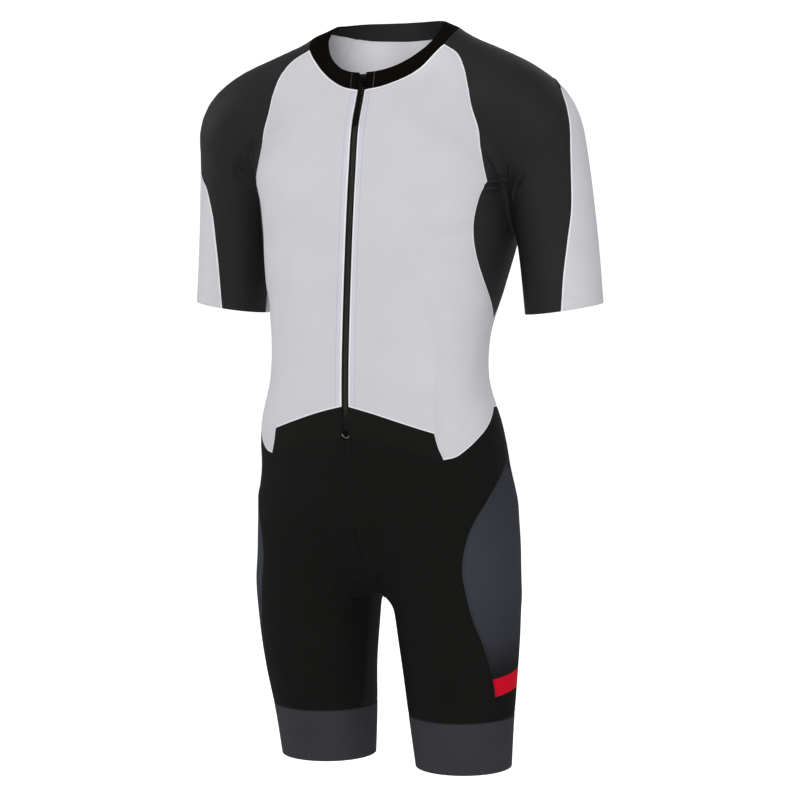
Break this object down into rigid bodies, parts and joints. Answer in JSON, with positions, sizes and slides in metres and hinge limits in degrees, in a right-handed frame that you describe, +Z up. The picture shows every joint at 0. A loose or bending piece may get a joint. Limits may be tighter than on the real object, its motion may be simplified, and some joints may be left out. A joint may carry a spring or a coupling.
{
  "type": "triathlon suit",
  "caption": "One-piece triathlon suit with short raglan sleeves, gripper-hemmed shorts and a front zip, held in its worn shape and empty inside.",
  "frame": {"origin": "base of the neck, midway between the shoulders, where the wearer holds the suit up", "axes": "+Z up the suit, -Y out of its front, +X to the wearer's left"},
  "size_m": [0.5382, 0.247, 0.9121],
  "materials": {
    "cloth_white": "fine matt knit",
    "cloth_black": "fine matt knit",
    "cloth_dark_grey": "heather knit",
    "cloth_printed": "printed knit, grey fading to black with a plain red band",
    "zip_tape": "woven tape",
    "zip_plastic": "moulded coil",
    "zip_metal": "black paint"
  },
  "bodies": {
    "suit": {"front_left": "cloth_white", "front_right": "cloth_white", "back": "cloth_white", "side_panel_left": "cloth_black", "side_panel_right": "cloth_black", "sleeve_front_left": "cloth_black", "sleeve_front_right": "cloth_black", "sleeve_back_left": "cloth_white", "sleeve_back_right": "cloth_white", "waist_left": "cloth_black", "waist_right": "cloth_black", "shorts_front_left": "cloth_black", "shorts_front_right": "cloth_black", "shorts_back_left": "cloth_black", "shorts_back_right": "cloth_black", "thigh_side_left": "cloth_printed", "thigh_side_right": "cloth_printed", "leg_band_left": "cloth_dark_grey", "leg_band_right": "cloth_dark_grey", "neck_band": "cloth_black", "zip_tape_left": "zip_tape", "zip_tape_right": "zip_tape", "zip_chain": "zip_plastic", "zip_slider": "zip_metal", "zip_stop": "zip_metal"},
    "pull": {"zip_pull": "zip_metal"}
  },
  "joints": [
    {"name": "pull_hinge", "type": "hinge", "parent": "suit", "child": "pull", "pos_m": [0, -0.06221, -0.04669], "axis": [-1, 0, 0], "range_deg": [0, 150]}
  ]
}
